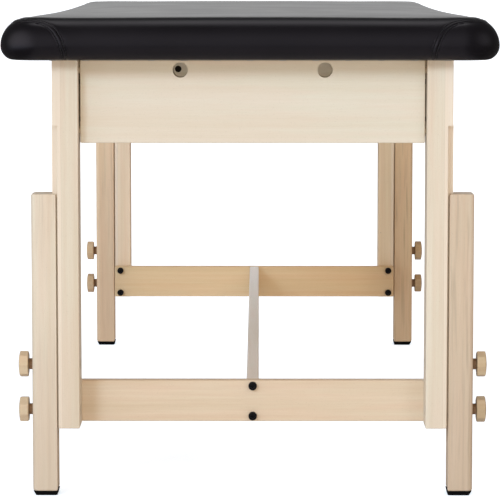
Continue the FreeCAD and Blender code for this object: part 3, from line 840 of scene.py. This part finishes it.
def band_section():
    """Across the seam: a low bead between two narrow grooves, with lips that meet the cover."""
    lip_reach = 0.0060
    lip_foot = -0.0006
    right = [
        (0.0, 0.0018), (0.0012, 0.0017), (0.0021, 0.0013), (0.0027, 0.0006), (stitch_offset, 0.0),
        (0.0035, 0.0007), (0.0041, 0.0011), (0.0050, 0.0010), (lip_reach, 0.0004)]
    left = [(-across, height) for across, height in reversed(right[1:])]
    return [(-lip_reach, lip_foot)] + left + right + [(lip_reach, lip_foot)]


def collect(points, faces, more_points, more_faces):
    """Adds one swept shape to a growing mesh."""
    start = len(points)
    points += more_points
    faces += [tuple(start + corner for corner in face) for face in more_faces]


def beside(surface, laid, offset):
    """A line beside a laid line, on the same surface."""
    moved = []
    for step, (place, out) in enumerate(laid):
        before = laid[max(0, step - 1)][0]
        after = laid[min(len(laid) - 1, step + 1)][0]
        moved.append(place + (after - before).normalized().cross(out) * offset)
    return laid_on(surface, moved)


def sew(laid):
    """One row of stitches: each thread rises from the leather and dips back into it."""
    fine_step = stitch_length / 4
    fine = even_steps(laid, fine_step)
    every = round(stitch_spacing / fine_step)
    lifts = (-0.0004, 0.00022, 0.0003, 0.00022, -0.0004)
    for first in range(0, len(fine) - len(lifts), every):
        run = fine[first:first + len(lifts)]
        stitch = [(place + out * lift, out) for (place, out), lift in zip(run, lifts)]
        collect(thread_points, thread_faces, *swept(stitch, thread_section))


band_points = []
band_faces = []
thread_points = []
thread_faces = []
arches = [corner_arch(side, end) for side in (-1, 1) for end in (-1, 1)]
for arch in arches:
    press_in(pad, arch, seam_depth, seam_spread)
cover_surface = surface_of(pad)
for arch in arches:
    seam = even_steps(laid_on(cover_surface, arch), band_step)
    collect(band_points, band_faces, *swept(seam, band_section()))
    sew(beside(cover_surface, seam, stitch_offset))
    sew(beside(cover_surface, seam, -stitch_offset))

seam_bands = new_piece("corner_seam_bands", band_points, band_faces)
stitching = new_piece("corner_stitching", thread_points, thread_faces)
sharpest_fold = math.radians(50)
for piece in (pad, seam_bands, stitching):
    edit_all(piece)
    bpy.ops.mesh.normals_make_consistent(inside=False)
    bpy.ops.object.mode_set(mode="OBJECT")
    bpy.ops.object.shade_smooth_by_angle(angle=sharpest_fold)


def black_leather(name):
    """Smooth coated leathercloth: pebbled grain, soft sheen and slight unevenness."""
    dark = (0.0040, 0.0036, 0.0046)
    handled = (0.0060, 0.0054, 0.0068)
    material, tree, shader = start_material(name)
    place = object_place(tree)
    pebbles = add_node(tree, "ShaderNodeTexVoronoi", {"Vector": place, "Scale": 1100.0}, feature="F1")
    creases = reckon(tree, "MULTIPLY", grainy(tree, place, scale=700.0, detail=5.0), 0.6)
    handling = grainy(tree, place, scale=9.0, detail=3.0)
    colour = tinted(tree, between(tree, handling, low=0.3, high=0.7), dark, handled)
    coat(tree, shader, colour, between(tree, handling, low=0.25, high=0.75, start=0.28, end=0.34))
    shader.inputs["Specular IOR Level"].default_value = 0.29
    shader.inputs["Specular Tint"].default_value = (0.95, 0.88, 1.0, 1)
    relief = reckon(tree, "ADD", pebbles.outputs["Distance"], creases)
    raised(tree, shader, relief, strength=0.10, distance=0.0003)
    return material


def black_thread(name):
    """Twisted polyester thread, a little paler than the leather."""
    valley = (0.012, 0.012, 0.013)
    ridge = (0.022, 0.022, 0.024)
    material, tree, shader = start_material(name)
    waves = {"Vector": object_place(tree), "Scale": 480.0}
    twist = add_node(tree, "ShaderNodeTexWave", waves, bands_direction="DIAGONAL").outputs["Fac"]
    tree.links.new(tinted(tree, twist, valley, ridge), shader.inputs["Base Color"])
    shader.inputs["Roughness"].default_value = 0.55
    shader.inputs["Sheen Weight"].default_value = 0.15
    raised(tree, shader, twist, strength=0.3, distance=0.0002)
    return material


cover_leather = black_leather("black_cover_leather")
pad.data.materials.append(cover_leather)
seam_bands.data.materials.append(cover_leather)
stitching.data.materials.append(black_thread("black_seam_thread"))
for piece in (pad, seam_bands, stitching):
    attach(piece, "frame")
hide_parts("upholstery_cover", "comfort_foam", "base_foam")


# Staples: plated wire staples that hold the cover's hem to the underside of the deck.
# They are driven in a row close to the edge of the hem, all the way round.
staple_length = 0.010
staple_width = 0.0012
staple_thickness = 0.0007
staple_rounding = staple_thickness * 0.3
staple_height = underside - staple_rounding
staple_spacing = 0.048
staple_inset = 0.009

bpy.ops.object.select_all(action="DESELECT")
bpy.ops.mesh.primitive_cube_add(size=1, location=(0, 0, 0))
staple = bpy.context.active_object
staple.scale = (staple_length, staple_width, staple_thickness)
bpy.ops.object.transform_apply(location=True, rotation=True, scale=True)
edit_all(staple)
bpy.ops.mesh.bevel(offset=staple_rounding, segments=2)
bpy.ops.object.mode_set(mode="OBJECT")


def staple_places():
    """Middle of each staple on the hem, and whether it lies along the table."""
    places = []
    x_line = opening_half_width + staple_inset
    y_line = opening_half_length + staple_inset
    count_long = int(2 * opening_half_length / staple_spacing)
    count_short = int(2 * opening_half_width / staple_spacing)
    for side in (-1, 1):
        for number in range(count_long):
            step = (number + 0.5) / count_long * 2 - 1
            places.append((side * x_line, step * opening_half_length, True))
        for number in range(count_short):
            step = (number + 0.5) / count_short * 2 - 1
            places.append((step * opening_half_width, side * y_line, False))
    return places


staples = []
for x, y, lengthwise in staple_places():
    copy = staple.copy()
    copy.data = staple.data.copy()
    copy.location = Vector((x, y, staple_height)) + pad_middle
    copy.rotation_euler = (0, 0, math.pi / 2 if lengthwise else 0)
    bpy.context.scene.collection.objects.link(copy)
    staples.append(copy)
bpy.data.objects.remove(staple)
bpy.ops.object.select_all(action="DESELECT")
for copy in staples:
    copy.select_set(True)
bpy.context.view_layer.objects.active = staples[0]
bpy.ops.object.join()
hem_staples = bpy.context.active_object
hem_staples.name = "hem_staples"
bpy.ops.object.transform_apply(location=True, rotation=True, scale=True)
hem_staples.data.materials.clear()
hem_staples.data.materials.append(zinc)
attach(hem_staples, "frame")


# Studio: a wide pale floor and white surroundings. The camera sees the floor evenly pale, but glossy
# pieces see a painted reflection of it: a strip down the middle that glows faintly, dark floor beside it,
# and a glowing patch far to the left and in front; they also see a low white wall behind the table, a grey
# room in front, and soft lights above and beside.
glossy_strip_half_width = 0.42
glossy_strip_fade = 0.65
floor_pale = (0.9, 0.9, 0.9)
floor_in_gloss = (0.10, 0.10, 0.10)
floor_glow = (0.76, 0.87, 0.97, 1)
floor_glow_seen = 0.74
bpy.ops.object.select_all(action="DESELECT")
bpy.ops.mesh.primitive_plane_add(size=400, location=(0, 0, 0))
floor = bpy.context.active_object
floor.name = "studio_floor"

floor_material, floor_tree, floor_shader = start_material("pale_floor")
floor_shader.inputs["Roughness"].default_value = 1.0
floor_shader.inputs["Specular IOR Level"].default_value = 0.0
floor_shader.inputs["Emission Color"].default_value = floor_glow
floor_path = add_node(floor_tree, "ShaderNodeLightPath", {})
floor_parts = add_node(floor_tree, "ShaderNodeSeparateXYZ", {"Vector": object_place(floor_tree)})
from_middle = reckon(floor_tree, "ABSOLUTE", floor_parts.outputs["X"])
# Painted reflection: off the middle strip the floor is dark to glossy rays only.
off_glossy_strip = between(floor_tree, from_middle, glossy_strip_half_width, glossy_strip_fade, start=0.4)
in_mirror = reckon(floor_tree, "MULTIPLY", floor_path.outputs["Is Glossy Ray"], off_glossy_strip)
floor_colour = tinted(floor_tree, in_mirror, floor_pale, floor_in_gloss)
floor_tree.links.new(floor_colour, floor_shader.inputs["Base Color"])
# Painted reflection: the middle strip and a patch far left and in front glow for glossy rays only.
glossy_strip_glow = between(floor_tree, from_middle, glossy_strip_half_width, glossy_strip_fade, start=0.18, end=0.02)
far_left = between(floor_tree, floor_parts.outputs["X"], low=-1.2, high=-3.6, end=1.3)
far_front = between(floor_tree, floor_parts.outputs["Y"], low=0.0, high=-2.0)
left_glow = reckon(floor_tree, "MULTIPLY", far_left, far_front)
glow = reckon(floor_tree, "MAXIMUM", glossy_strip_glow, left_glow)
floor_seen = reckon(floor_tree, "MULTIPLY", floor_path.outputs["Is Camera Ray"], floor_glow_seen)
floor_mirrored = reckon(floor_tree, "MULTIPLY", floor_path.outputs["Is Glossy Ray"], glow)
floor_lift = reckon(floor_tree, "ADD", floor_seen, floor_mirrored)
floor_tree.links.new(floor_lift, floor_shader.inputs["Emission Strength"])
floor.data.materials.append(floor_material)

ambient = (0.475, 0.335, 0.21)
dimmest_in_gloss = 0.08
white = (1, 1, 1)
surroundings = bpy.data.worlds.new("white_studio")
surroundings.use_nodes = True
bpy.context.scene.world = surroundings
world_tree = surroundings.node_tree
backdrop = world_tree.nodes["Background"]
world_path = add_node(world_tree, "ShaderNodeLightPath", {})
outlook = add_node(world_tree, "ShaderNodeTexCoord", {}).outputs["Generated"]
outlook_parts = add_node(world_tree, "ShaderNodeSeparateXYZ", {"Vector": outlook})


def bearing_to(bearing, elevation):
    """The way to a light; bearing is from the front, positive to the right, in degrees."""
    turn = math.radians(bearing)
    climb = math.radians(elevation)
    return Vector((math.sin(turn) * math.cos(climb), -math.cos(turn) * math.cos(climb), math.sin(climb)))


def soft_box(bearing, elevation, outer, inner, strength):
    """A round soft light in the mirrored studio, full inside one angle and gone past another."""
    ways = {0: outlook, 1: tuple(bearing_to(bearing, elevation))}
    nearness = add_node(world_tree, "ShaderNodeVectorMath", ways, operation="DOT_PRODUCT")
    edge = math.cos(math.radians(outer))
    core = math.cos(math.radians(inner))
    return between(world_tree, nearness.outputs["Value"], edge, core, end=strength)


sideways = reckon(world_tree, "ABSOLUTE", outlook_parts.outputs["X"])
behind = between(world_tree, outlook_parts.outputs["Y"], low=0.3, high=0.6)
central = between(world_tree, sideways, low=0.38, high=0.16)
not_high = between(world_tree, outlook_parts.outputs["Z"], low=0.5, high=0.2)
wall = reckon(world_tree, "MULTIPLY", behind, reckon(world_tree, "MULTIPLY", central, not_high))
in_front = between(world_tree, outlook_parts.outputs["Y"], low=0.0, high=-0.5)
lit_side = between(world_tree, outlook_parts.outputs["X"], low=0.45, high=0.1)
room_light = between(world_tree, outlook_parts.outputs["Z"], low=0.85, high=0.6, start=0.34, end=0.72)
lit_front = reckon(world_tree, "MULTIPLY", in_front, lit_side)
front_room = reckon(world_tree, "MULTIPLY", lit_front, room_light)
soft_boxes = [
    soft_box(bearing=-54, elevation=10, outer=54, inner=14, strength=1.8),
    soft_box(bearing=72, elevation=18, outer=32, inner=8, strength=0.7),
    soft_box(bearing=180, elevation=72, outer=19, inner=5, strength=1.7),
]
mirrored = reckon(world_tree, "MAXIMUM", wall, front_room)
for brightness in (*soft_boxes, dimmest_in_gloss):
    mirrored = reckon(world_tree, "MAXIMUM", mirrored, brightness)
world_light = tinted(world_tree, world_path.outputs["Is Glossy Ray"], ambient, mirrored)
seen = reckon(
    world_tree, "MAXIMUM", world_path.outputs["Is Camera Ray"], world_path.outputs["Is Transmission Ray"])
world_tree.links.new(tinted(world_tree, seen, world_light, white), backdrop.inputs["Color"])


def soft_lamp(name, bearing, elevation, strength, softness, colour):
    """A distant soft lamp that gloss doesn't mirror, because the soft boxes are there for it."""
    data = bpy.data.lights.new(name, "SUN")
    data.energy = strength * math.pi
    data.color = colour
    data.angle = math.radians(softness)
    lamp = bpy.data.objects.new(name, data)
    bpy.context.scene.collection.objects.link(lamp)
    lamp.rotation_euler = bearing_to(bearing, elevation).to_track_quat("Z", "Y").to_euler()
    lamp.visible_glossy = False


cool_light = (0.85, 1.10, 1.40)
warm_light = (1.06, 0.98, 0.86)
even_light = (0.97, 1.03, 1.10)
soft_lamp("left_lamp", bearing=-26, elevation=25, strength=0.30, softness=18, colour=cool_light)
soft_lamp("side_lamp", bearing=-62, elevation=16, strength=0.10, softness=40, colour=cool_light)
soft_lamp("right_lamp", bearing=24, elevation=25, strength=0.13, softness=20, colour=even_light)
soft_lamp("rear_lamp", bearing=150, elevation=42, strength=0.10, softness=14, colour=cool_light)
soft_lamp("back_wall_lamp", bearing=180, elevation=14, strength=0.32, softness=40, colour=cool_light)
soft_lamp("camera_lamp", bearing=0.4, elevation=3, strength=0.15, softness=3, colour=warm_light)


# Camera: at the head end, a little above the top, looking slightly down along the table.
# It stands five metres off with a long lens, a touch to the right, and has no shift.
camera_data = bpy.data.cameras.new("front_camera")
camera_data.sensor_width = 36
camera_data.lens = 201.69
camera_data.clip_end = 1000
camera = bpy.data.objects.new("front_camera", camera_data)
camera.location = (0.0092, -5.1217, 0.8133)
pitch_down = math.radians(5.815)
yaw = math.radians(-0.1775)
level = math.cos(pitch_down)
aim = Vector((math.sin(yaw) * level, math.cos(yaw) * level, -math.sin(pitch_down)))
camera.rotation_euler = aim.to_track_quat("-Z", "Y").to_euler()
bpy.context.scene.collection.objects.link(camera)
bpy.context.scene.camera = camera
